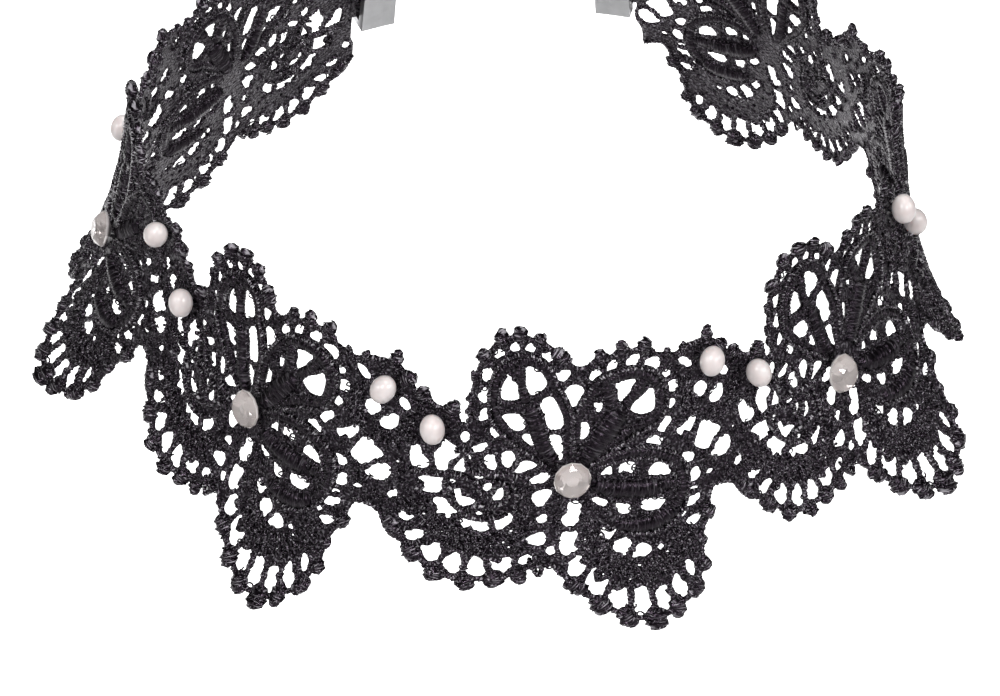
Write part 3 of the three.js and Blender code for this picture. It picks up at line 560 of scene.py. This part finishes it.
def noise(tree, scale, detail=2.0):
    """Noise that lies still on the piece."""
    place = tree.nodes.new("ShaderNodeTexCoord")
    node = add(tree, "ShaderNodeTexNoise", {"Scale": scale, "Detail": detail})
    link(tree, place, "Object", node, "Vector")
    return node


def colour_by(tree, source, shader, stops):
    """Colours the shader by a noise, between stops that each have a place and a colour."""
    node = tree.nodes.new("ShaderNodeValToRGB")
    elements = node.color_ramp.elements
    for i in (0, -1):
        elements[i].position = stops[i][0]
        elements[i].color = (*stops[i][1], 1)
    for place, colour in stops[1:-1]:
        elements.new(place).color = (*colour, 1)
    link(tree, source, "Fac", node, "Fac")
    link(tree, node, "Color", shader, "Base Color")


def roughness_by(tree, source, shader, low, high, start=0.0, end=1.0):
    """Sets the shader's roughness from low to high as a noise goes from start to end."""
    span = {"From Min": start, "From Max": end, "To Min": low, "To Max": high}
    node = add(tree, "ShaderNodeMapRange", span)
    link(tree, source, "Fac", node, "Value")
    link(tree, node, "Result", shader, "Roughness")


def relief_by(tree, source, out, shader, depth, strength=1.0):
    """Raises the surface by an output of the source."""
    node = add(tree, "ShaderNodeBump", {"Distance": depth, "Strength": strength})
    link(tree, source, out, node, "Height")
    link(tree, node, "Normal", shader, "Normal")


BLACK = (0.0034, 0.0026, 0.0036)


def thread_material(name, painted_glint, roughness, relief, depth, level=0.5):
    """Black glossy thread, with wraps that follow the cord or loops that lie anywhere, and a painted
    glint: a noise lightens spots of its base colour to a grey highlight.
    """
    material, tree, shader = nodes_of(name, {
        "Specular IOR Level": level,
        "Specular Tint": (0.8, 0.62, 0.82, 1),
    })
    both = tree.nodes.new("ShaderNodeMath")
    both.operation = "MULTIPLY_ADD"
    if relief == "wraps":
        # Each turn of thread is a streak across the cord, raised by the bump and also painted into the
        # base colour as a highlight streak.
        uv = tree.nodes.new("ShaderNodeUVMap")
        uv.uv_map = "thread"
        streak = add(tree, "ShaderNodeMapping", {"Scale": (4.6, 3.6, 1)})
        fibre_and_painted_glint = add(tree, "ShaderNodeTexNoise", {"Scale": 1.0, "Detail": 0.6})
        link(tree, uv, "UV", streak, "Vector")
        link(tree, streak, "Vector", fibre_and_painted_glint, "Vector")
        wave = add(tree, "ShaderNodeTexWave", {"Scale": 0.9, "Distortion": 2.5, "Detail": 1})
        wave.bands_direction = "DIAGONAL"
        link(tree, uv, "UV", wave, "Vector")
        link(tree, wave, "Fac", both, 0)
        both.inputs[1].default_value = 0.45
    else:
        fibre_and_painted_glint = noise(tree, 2900, 0.6)
        loops = add(tree, "ShaderNodeTexVoronoi", {"Scale": 1500})
        loops.feature = "DISTANCE_TO_EDGE"
        place = tree.nodes.new("ShaderNodeTexCoord")
        link(tree, place, "Object", loops, "Vector")
        link(tree, loops, "Distance", both, 0)
        both.inputs[1].default_value = -1.6
    link(tree, fibre_and_painted_glint, "Fac", both, 2)
    relief_by(tree, both, 0, shader, depth)
    # The base colour carries painted light: black where the noise is low, and the painted glint's grey
    # highlight where it is high.
    dark, dull = ([c * share for c in BLACK] for share in (0.4, 1.4))
    colour_by(tree, fibre_and_painted_glint, shader, [(0.4, dark), (0.56, dull), (0.68, painted_glint)])
    roughness_by(tree, noise(tree, 900), shader, roughness - 0.06, roughness + 0.1, 0.3, 0.7)
    return material


# The first colour of each look is its painted glint, the grey that its highlights are painted in. The
# outline cords have the lightest and the satins the darkest.
cloth_look = thread_material(
    "lace_ground_look", (0.13, 0.124, 0.136), 0.34, "loops", depth=0.00022, level=0.35
)
cord_look = thread_material("lace_cord_look", (0.34, 0.325, 0.35), 0.22, "wraps", depth=0.00022)
outline_look = thread_material(
    "lace_outline_look", (0.45, 0.44, 0.46), 0.18, "wraps", depth=0.0003
)
satin_look = thread_material(
    "lace_satin_look", (0.07, 0.066, 0.072), 0.24, "wraps", depth=0.0002, level=0.35
)

pearl_look, tree, shader = nodes_of("pearl_look", {
    "Roughness": 0.32,
    "Coat Weight": 0.6,
    "Coat Roughness": 0.3,
    "Subsurface Weight": 0.2,
    "Subsurface Radius": (0.0012, 0.0009, 0.0008),
    "Subsurface Scale": 1.0,
})
cloud = noise(tree, 500)
colour_by(tree, cloud, shader, [(0.3, (0.7, 0.62, 0.61)), (0.7, (0.82, 0.76, 0.75))])
relief_by(tree, cloud, "Fac", shader, 0.00003, strength=0.3)

crystal_look, tree, shader = nodes_of("crystal_look", {
    "Base Color": (1.0, 0.97, 0.96, 1),
    "Transmission Weight": 1.0,
    "IOR": 1.56,
})
roughness_by(tree, noise(tree, 900), shader, 0.0, 0.05)

foil_look, tree, shader = nodes_of("crystal_foil_look", {"Metallic": 0.5, "Roughness": 0.14})
colour_by(tree, noise(tree, 1200), shader, [(0, (0.95, 0.87, 0.85)), (1, (1.0, 0.96, 0.95))])

clasp_look, tree, shader = nodes_of("clasp_look", {"Metallic": 1.0})
brush = noise(tree, 700, detail=4)
colour_by(tree, brush, shader, [(0, (0.42, 0.42, 0.43)), (1, (0.62, 0.62, 0.63))])
roughness_by(tree, brush, shader, 0.25, 0.45)

# The lace's ground: one cloth with the gaps open, thin at its edges and fuller between them.
lower, upper, seam = one(LOWER), one(UPPER), one(SEAM)
far_seam = seam + [STITCHES_ALONG, 0]
pinholes = one(PINHOLES)
holes = []
for row in chart(GAPS):
    x, y = row.T
    area = 0.5 * np.sum(x * np.roll(y, -1) - np.roll(x, -1) * y)
    holes.append(row if area > 0 else row[::-1])

# The mesh in stitches: the steps of its edges and gaps, how far the gaps reach under the cords
# round them, and its inner grid, with the grid's unevenness and its distance from the edges. The
# grid's frame is wider than the chart.
EDGE_STEP, GAP_STEP, GAP_COVER = 0.8, 0.62, 0.12
GRID_ALONG, GRID_UP, GRID_UNEVEN, GRID_CLEAR = 0.8, 0.7, 0.08, 0.3
GRID_START, GRID_END, GRID_TOP = -24, 23, 22
# Half thicknesses in millimetres: at the edges, what is added within so many stitches of them,
# its chance and its waves, which leave a narrow rim as it is, and the half thickness on the seams.
EDGE_HALF, INNER_HALF, INNER_REACH = 0.12, 0.12, 0.9
CHANCE_HALF, WAVE_HALF, RIM = 0.03, 0.05, 0.2
SEAM_HALF = 0.22


def grid_in(outline, gap_lines):
    """The points of an uneven grid that lie on the cloth, clear of its edges."""
    x, y = np.meshgrid(
        np.arange(GRID_START, GRID_END, GRID_ALONG), np.arange(GRID_START, GRID_TOP, GRID_UP)
    )
    x[1::2] += GRID_ALONG / 2
    grid = np.stack([x.ravel(), y.ravel()], 1)
    grid += rng.uniform(-GRID_UNEVEN, GRID_UNEVEN, grid.shape)
    grid = grid[inside(grid, outline)]
    keep = to_edges(grid, [(line, True) for line in [outline] + gap_lines]) > GRID_CLEAR
    for line in gap_lines:
        keep &= ~inside(grid, line)
    return grid[keep]


def doubled_areas(flat, tri):
    """Twice the area of each triangle, below 0 where its corners run clockwise."""
    a, b, c = (flat[tri[:, i], :2] for i in range(3))
    return np.cross(b - a, c - a)


def triangles_in(outline, gap_lines):
    """Points and triangles, facing out, that fill the outline and leave the gaps open."""
    lines = [outline] + gap_lines
    edges, start = [], 0
    for line in lines:
        n = len(line)
        edges += [(start + i, start + (i + 1) % n) for i in range(n)]
        start += n
    flat = np.concatenate(lines + [grid_in(outline, gap_lines)])
    found = geometry.delaunay_2d_cdt([Vector(p) for p in flat], edges, [], 0, 1e-5)
    flat = np.array([v[:] for v in found[0]])
    tri = np.array([f for f in found[2] if len(f) == 3])
    middle = flat[tri].mean(1)
    keep = inside(middle, outline)
    for line in gap_lines:
        near = np.nonzero(((middle > line.min(0)) & (middle < line.max(0))).all(1))[0]
        keep[near[inside(middle[near], line)]] = False
    tri = tri[keep]
    turned = doubled_areas(flat, tri) < 0
    tri[turned] = tri[turned][:, ::-1]
    return flat, tri


def seam_points(flat, line):
    """Which flat points are a seam's own, in order up the seam."""
    found = np.nonzero(to_edges(flat, [(line, False)]) < 1e-3)[0]
    return found[np.argsort(flat[found, 1])]


def ground():
    """One repeat's cloth: its flat points with their half thickness, its faces on one side,
    its rim beside air, and its points on the near seam and the far one."""
    low, high = smooth(lower, EDGE_STEP), smooth(upper, EDGE_STEP)
    outline = np.concatenate([low, far_seam[1:-1], high[::-1], seam[1:-1][::-1]])
    gap_lines = [shrunk(smooth(hole, GAP_STEP, closed=True), -GAP_COVER) for hole in holes]
    gap_lines += [circle(x, y, r, sides=6) for x, y, r in pinholes]
    flat, tri = triangles_in(outline, gap_lines)
    d = to_edges(flat, [(low, False), (high, False)] + [(line, True) for line in gap_lines])
    thick = EDGE_HALF + INNER_HALF * np.sqrt(np.clip(d / INNER_REACH, 0, 1))
    x, y = flat.T
    waves = np.sin(1.9 * x + 0.8 * y) * np.sin(2.3 * y - 0.6 * x)
    chance = rng.uniform(-1, 1, len(thick))
    thick += (CHANCE_HALF * chance + WAVE_HALF * waves) * (d > RIM)
    near, far = seam_points(flat, seam), seam_points(flat, far_seam)
    thick[near] = thick[far] = SEAM_HALF
    edge = np.concatenate([tri[:, [0, 1]], tri[:, [1, 2]], tri[:, [2, 0]]])
    _, index, count = np.unique(np.sort(edge, 1), axis=0, return_index=True, return_counts=True)
    return np.c_[flat, thick], tri, edge[index[count == 1]], near, far


def tab_box(start, end):
    """A plain tab of the band from start to end, as a box with a few columns."""
    low, high = TAB_UP - TAB_HEIGHT / 2, TAB_UP + TAB_HEIGHT / 2
    columns = np.linspace(min(start, end), max(start, end), 6)
    ring = [(low, -TAB_HALF), (high, -TAB_HALF), (high, TAB_HALF), (low, TAB_HALF)]
    points = np.array([(x, y * UP, z) for x in columns for y, z in ring])
    faces = [(i + j, i + (j + 1) % 4, i + 4 + (j + 1) % 4, i + 4 + j)
             for i in range(0, len(points) - 4, 4) for j in range(4)]
    last = len(points) - 4
    faces += [(3, 2, 1, 0), (last, last + 1, last + 2, last + 3)]
    return points, np.array(faces)


def whole_ground():
    """The cloth of all the repeats, joined at the seams, with a plain tab at each end: its
    points, faces and thread coordinates, and its area in square millimetres."""
    flat, tri, rim, near, far = ground()
    n, count = len(flat), len(REPEATS)
    where = []
    for i in range(count):
        own = np.arange(n) + i * n
        if i:
            own[near] = far + (i - 1) * n
        where.append(own)
    on_near, on_far = np.isin(rim, near).all(1), np.isin(rim, far).all(1)
    faces, band = [], []
    total = n * count
    for i, own in enumerate(where):
        band.append(np.c_[REPEATS[i] * PITCH + flat[:, 0] * STITCH, flat[:, 1] * UP, flat[:, 2]])
        walled = rim[~(on_near & (i > 0)) & ~(on_far & (i < count - 1))]
        top, side = own[tri], own[walled]
        faces.append(np.c_[top, top[:, 2]])
        faces.append(np.c_[top[:, ::-1], top[:, 0]] + total)
        faces.append(np.stack([side[:, 1], side[:, 0], side[:, 0] + total, side[:, 1] + total], 1))
    band = np.concatenate(band)
    points = np.concatenate([band, band * [1, 1, -1]])
    for end, way in ((REPEATS[0] - 0.5, -1), (REPEATS[-1] + 0.5, 1)):
        tab, tab_faces = tab_box(end * PITCH - way * TAB_LAP, end * PITCH + way * TAB_LENGTH)
        faces.append(tab_faces + len(points))
        points = np.concatenate([points, tab])
    faces = np.concatenate(faces)
    used, faces = np.unique(faces, return_inverse=True)
    points = points[used]
    area = 0.5 * np.abs(doubled_areas(flat, tri)).sum() * count * STITCH * UP
    return on_neck(*points.T), faces.reshape(-1, 4), points[:, :2] / STITCH, area


ground_points, ground_faces, ground_threads, cloth_area = whole_ground()
cloth = make_mesh("lace_ground", ground_points, ground_faces, ground_threads, cloth_look)

# Twisted cords round every gap and along the edges. Lengths and radii here and below are in
# stitches, and heights in millimetres.
LARGE_GAP, LARGE_RADIUS, SMALL_RADIUS = 1.6, 0.32, 0.26
RING_STEP, RING_CLEAR, UNEVEN, PLY_TURN = 0.25, 0.08, 0.05, 0.62
rings = Flat()
for row in holes:
    r = LARGE_RADIUS if np.linalg.norm(np.ptp(row, axis=0)) > LARGE_GAP else SMALL_RADIUS
    path = shrunk(smooth(row, RING_STEP, closed=True), -r - RING_CLEAR)
    path = path + rng.normal(0, UNEVEN, path.shape)
    rings.tube(path, r, r * 1.15, closed=True, sides=5, ribs=0.2, twist=PLY_TURN, lumps=0.2)
for x, y, r in pinholes:
    loop = circle(x, y, r + 0.14, sides=8)
    rings.tube(loop, 0.19, 0.2, lift=0.2, closed=True, sides=4, ribs=0.1)
for line in (lower, upper):
    path = smooth(line, RING_STEP)
    rings.tube(path, 0.33, 0.42, sides=5, ribs=0.16, twist=PLY_TURN, lumps=0.12)

# Satin cords and petals, with rounded ends.
SATIN_STEP = 0.22
satins = Flat()
for (first, middle, last, high), way in routes(SATINS):
    path = smooth(way, SATIN_STEP)
    t = np.linspace(0, 1, len(path))
    wide = np.interp(t, [0, 0.5, 1], [first, middle, last])
    ends = np.sqrt(np.clip(np.minimum(t, 1 - t) * len(path) / 4 + 0.15, 0, 1))
    satins.tube(path, wide * ends, high * ends * 0.95, ribs=0.08, lumps=0.05)

# The bright cords that outline them. All but the net's fine ones show on the inner face too.
FINE_CORD, OUTLINE_STEP = 0.2, 0.24
outlines = Flat()
for (r,), way in routes(CORDS):
    path = smooth(way, OUTLINE_STEP)
    lift = 0.36 if r > FINE_CORD else 0.1
    outlines.tube(path, r * 1.1, r * 1.25, lift=lift, sides=6, ribs=0.22, twist=0.6, lumps=0.08)
    if r > FINE_CORD:
        outlines.tube(path[::2], r, r, lift=-0.3, sides=4, ribs=0.1)

# Picots: lumps of wound thread on the edges, with one strand that winds slantwise over each.
PICOT_STEP, PICOT_BEND, FLATNESS = 0.2, 0.12, 0.78
STRAND_RADIUS, STRAND_TURNS, STRAND_REACH = 0.17, 2.2, 0.85


def fullness(t):
    """A picot's width as a share, full in the middle and round towards its ends at -1 and 1."""
    return np.sqrt(np.clip(1 - np.abs(t) ** 2.6, 0.03, 1))


picots = Flat()
for x, y, long, wide, way in one(PICOTS):
    ahead = np.array([math.cos(math.radians(way)), math.sin(math.radians(way))])
    side = left_of(ahead)
    t = np.linspace(-1, 1, max(8, int(2 * long / PICOT_STEP)))
    bend = PICOT_BEND * np.sin(2.2 * t + x)
    path = np.array([x, y]) + np.outer(t * long, ahead) + np.outer(bend, side)
    girth = wide * fullness(t)
    picots.tube(path, girth, FLATNESS * girth, ribs=0.05, lumps=0.15)
    t = np.linspace(-1, 1, 20)
    wind = np.pi * STRAND_TURNS * (t + 1) + x
    t = t * STRAND_REACH
    girth = wide * fullness(t)
    strand = np.array([x, y]) + np.outer(t * long, ahead) + np.outer(girth * np.cos(wind), side)
    lift = FLATNESS * girth * np.sin(wind)
    picots.tube(strand, STRAND_RADIUS, STRAND_RADIUS, lift=lift, sides=4, ribs=0.1)

# Loose loops of thread. The repeats at the back have fewer.
threads, few_threads = Flat(), Flat()

# Rows of loops in the dense bands: offset in half widths, phase in radians, and the side.
LOOP_ROWS = ((-0.55, 0.0, 1), (0.1, 1.9, 1), (0.6, 3.7, 1), (0.0, 1.0, -1))
BAND_STEP, LOOP_PITCH, TURN_SAMPLES = 0.3, 1.15, 9
for band in chart(BANDS):
    line = smooth(band, BAND_STEP)
    side = left_of(directions(line[:, :2], closed=False))
    turns = BAND_STEP * len(line) / LOOP_PITCH
    share = np.linspace(0, 1, len(line))
    t = np.linspace(0, 1, int(turns * TURN_SAMPLES))
    at, s = resampled(t, share, line), resampled(t, share, side)
    for offset, phase, face in LOOP_ROWS:
        wind = 2 * np.pi * turns * t + phase
        loop = at[:, :2] + s * at[:, 2:] * (offset + 0.42 * np.cos(wind)[:, None])
        loop = loop - left_of(s) * 0.45 * np.sin(wind)[:, None]
        loop = loop + rng.normal(0, UNEVEN, loop.shape)
        threads.tube(loop, 0.15, 0.17, lift=face * (0.34 + 0.14 * np.sin(wind)), sides=4, ribs=0.05)

# A scatter of single loops on the ground, clear of the gaps: one in six on the inner face, and
# one in three at the back too.
TRIES, LOOPS, LOOP_SAMPLES, LOOP_CLEAR = 6200, 820, 7, 0.35
edge = np.concatenate([lower, far_seam[1:-1], upper[::-1], seam[::-1][1:-1]])
spots = rng.uniform([-24, -24], [21, 21], (TRIES, 2))
spots = spots[inside(spots, edge)]
for hole in holes:
    spots = spots[~inside(spots, shrunk(hole, -LOOP_CLEAR))]
for i, (x, y) in enumerate(spots[:LOOPS]):
    size = rng.uniform(0.3, 0.62)
    start = rng.uniform(0, 2 * np.pi)
    arc = np.linspace(0, rng.uniform(2.4, 4.6), LOOP_SAMPLES) + start
    squash = rng.uniform(0.45, 1)
    loop = np.stack([x + size * np.cos(arc), y + size * squash * np.sin(arc)], 1)
    face = -1 if i % 6 == 5 else 1
    lift = face * (0.26 + 0.2 * np.sin(np.linspace(0, np.pi, LOOP_SAMPLES)))
    for loops in (threads, few_threads) if i % 3 == 0 else (threads,):
        loops.tube(loop, 0.13, 0.15, lift=lift, sides=4, ribs=0.04)

for name, flat, look in (
    ("rings", rings, cord_look),
    ("satins", satins, satin_look),
    ("outlines", outlines, outline_look),
    ("picots", picots, cord_look),
):
    for side, group in (("a", REPEATS[:3]), ("b", REPEATS[3:5]), ("c", REPEATS[5:])):
        lace_object(f"lace_{name}_{side}", flat, group, look)
for side, flat, group in (
    ("a", threads, REPEATS[1:3]),
    ("b", threads, REPEATS[3:5]),
    ("c", threads, REPEATS[5:6]),
    ("d", few_threads, REPEATS[::6]),
):
    lace_object(f"lace_threads_{side}", flat, group, cord_look)
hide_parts("lace_band")


def seat(repeat, along, up, lift, turn):
    """The place of a stone, with its own axes across, up the band and out."""
    x, y = repeat * PITCH + along * STITCH, up * UP
    out = LACE_THICKNESS / 2 + SEAT_GAP + lift
    at, ahead, above = (on_neck(*np.array([[x + a], [y + b], [out]]))[0]
                        for a, b in ((0, 0), (1, 0), (0, 1)))
    upward = Vector(above - at)
    outward = Vector(ahead - at).cross(upward).normalized()
    across = upward.cross(outward).normalized()
    axes = Matrix((across, outward.cross(across), outward)).transposed().to_4x4()
    return Matrix.Translation(at) @ axes @ Matrix.Rotation(math.radians(turn), 4, "Z")


def stone(name, node, points, faces, matrix, looks, kinds=None):
    """A stone's piece: smooth in one look, or faceted with the look that each face's kind names."""
    mesh = bpy.data.meshes.new(name)
    mesh.from_pydata([tuple(matrix @ Vector(p)) for p in points], [], faces)
    mesh.validate()
    for look in looks:
        mesh.materials.append(look)
    for i, polygon in enumerate(mesh.polygons):
        polygon.use_smooth = kinds is None
        polygon.material_index = kinds[i] if kinds else 0
    piece = bpy.data.objects.new(name, mesh)
    bpy.context.scene.collection.objects.link(piece)
    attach(piece, "root")
    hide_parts(node)
    return piece


def pearl_shape(seed):
    """An oval bead, a little uneven, with a small thread hole at each end."""
    rows, sides, hole = 22, 32, 0.06
    uneven = np.random.default_rng(seed).uniform(-0.02, 0.02, 3)
    points, faces = [], []
    for i in range(rows + 1):
        w, h = math.sin(math.pi * i / rows), -math.cos(math.pi * i / rows)
        for j in range(sides):
            b = 2 * math.pi * j / sides
            k = 1 + uneven[0] * math.cos(b) + uneven[1] * math.sin(2 * b) + uneven[2] * h
            r = PEARL[0] / 2 * max(w, hole) * k * MM
            points.append((r * math.cos(b), PEARL[1] / 2 * h * MM, r * math.sin(b)))
    for i in range(rows):
        for j in range(sides):
            n = (j + 1) % sides
            faces.append((i * sides + j, i * sides + n, (i + 1) * sides + n, (i + 1) * sides + j))
    faces.append(tuple(range(sides))[::-1])
    faces.append(tuple(rows * sides + j for j in range(sides)))
    return points, faces


def crystal_shape():
    """A round cut stone: a table and two rows of clear facets, over a foiled girdle and back."""
    w, h, d = (v * MM for v in CRYSTAL)
    sides = 12
    # Each row of corners: radius and height as shares, and its turn in facets.
    rows = [
        (0.52, 1.0, 0.0),
        (0.78, 0.82, 0.5),
        (0.97, 0.5, 0.0),
        (1.0, 0.42, 0.0),
        (0.97, 0.34, 0.0),
        (0.35, 0.04, 0.5),
    ]
    clear_rows, clear, foiled = 2, 0, 1
    points = [(r * w / 2 * math.cos(2 * math.pi * (j + s) / sides),
               r * h / 2 * math.sin(2 * math.pi * (j + s) / sides), z * d)
              for r, z, s in rows for j in range(sides)]
    faces, kinds = [tuple(range(sides))], [clear]
    for i in range(len(rows) - 1):
        step = rows[i + 1][2] - rows[i][2]
        for j in range(sides):
            n = (j + 1) % sides
            a, b, c, e = i * sides + j, i * sides + n, (i + 1) * sides + j, (i + 1) * sides + n
            if step > 0:
                facets = [(a, c, b), (b, c, e)]
            elif step < 0:
                facets = [(a, c, e), (a, e, b)]
            else:
                facets = [(a, c, e, b)]
            faces += facets
            kinds += [foiled if i >= clear_rows else clear] * len(facets)
    last = (len(rows) - 1) * sides
    faces.append(tuple(last + j for j in range(sides))[::-1])
    kinds.append(foiled)
    return points, faces, kinds


for i, (repeat, along, up, turn) in enumerate(PEARL_SEATS, 1):
    points, faces = pearl_shape(i)
    place = seat(repeat, along, up, PEARL[0] / 2, turn)
    stone(f"pearl_bead_{i}", f"pearl_{i}", points, faces, place,
                        [pearl_look])
points, faces, kinds = crystal_shape()
for i, (repeat, along, up) in enumerate(CRYSTAL_SEATS, 1):
    place = seat(repeat, along, up, 0, 0)
    stone(f"crystal_stone_{i}", f"crystal_{i}", points, faces, place,
                        [crystal_look, foil_look], kinds)

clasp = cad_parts["back_clasp"]
clasp.data.materials.clear()
clasp.data.materials.append(clasp_look)

# The camera, from the photograph: metres and degrees, then pixels of the picture.
DISTANCE, AZIMUTH, ELEVATION = 0.600, -5.44, 35.27
PICTURE = (1000, 696)
FOCAL_PX, CENTRE = 4368.0, (527.8, 214.8)
scene = bpy.context.scene
camera = bpy.data.objects.new("camera", bpy.data.cameras.new("camera"))
scene.collection.objects.link(camera)
a, e = math.radians(AZIMUTH), math.radians(ELEVATION)
spot = Vector((math.sin(a) * math.cos(e), -math.cos(a) * math.cos(e), math.sin(e))) * DISTANCE
aim = (-spot).to_track_quat("-Z", "Y").to_matrix().to_4x4()
down = math.atan((PICTURE[1] / 2 - CENTRE[1]) / FOCAL_PX)
aside = math.atan((CENTRE[0] - PICTURE[0] / 2) / FOCAL_PX)
camera.matrix_world = (Matrix.Translation(spot) @ aim @ Matrix.Rotation(-down, 4, "X")
                       @ Matrix.Rotation(aside, 4, "Y"))
camera.data.sensor_width = 36
camera.data.lens = FOCAL_PX * camera.data.sensor_width / PICTURE[0]
camera.data.clip_start = 0.01
camera.data.clip_end = 20
scene.camera = camera

# The floor, in metres.
FLOOR_HALF, FLOOR_HEIGHT = 6, -0.2
floor_look, tree, shader = nodes_of("floor_look", {
    "Base Color": (0.7, 0.7, 0.7, 1),
    "Roughness": 0.9,
    "Specular IOR Level": 0.0,
})
mesh = bpy.data.meshes.new("floor")
corners = [(x * FLOOR_HALF, y * FLOOR_HALF, FLOOR_HEIGHT)
           for x, y in ((-1, -1), (1, -1), (1, 1), (-1, 1))]
mesh.from_pydata(corners, [], [(0, 1, 2, 3)])
mesh.materials.append(floor_look)
floor = bpy.data.objects.new("floor", mesh)
scene.collection.objects.link(floor)


def area_light(name, place, size, power):
    """A square light that points at the middle of the neck."""
    light = bpy.data.lights.new(name, "AREA")
    light.shape = "SQUARE"
    light.size = size
    light.energy = power
    lamp = bpy.data.objects.new(name, light)
    scene.collection.objects.link(lamp)
    aim = (-Vector(place)).to_track_quat("-Z", "Y").to_matrix().to_4x4()
    lamp.matrix_world = Matrix.Translation(place) @ aim


area_light("key", (-0.45, -0.8, 0.8), 0.14, 5.5)
area_light("fill", (0.55, -0.85, 0.55), 0.14, 4.5)
area_light("left_side", (-1, -0.4, 0.45), 0.14, 3)
area_light("right_side", (1, -0.4, 0.45), 0.14, 3)
area_light("top", (0.1, -0.3, 1.2), 0.3, 4)

# A soft pool of light on the floor behind the lace, which doesn't reach the lace.
pool = bpy.data.lights.new("pool", "SPOT")
pool.energy = 190
pool.spot_size = math.radians(36)
pool.spot_blend = 0.7
pool.shadow_soft_size = 0.1
pool_lamp = bpy.data.objects.new("pool", pool)
scene.collection.objects.link(pool_lamp)
pool_lamp.location = (0, 0.36, 1.0)

world = bpy.data.worlds.new("world")
scene.world = world
world.use_nodes = True
set_inputs(world.node_tree.nodes["Background"], {"Color": (1, 1, 1, 1), "Strength": 0.08})
scene.view_settings.view_transform = "Standard"
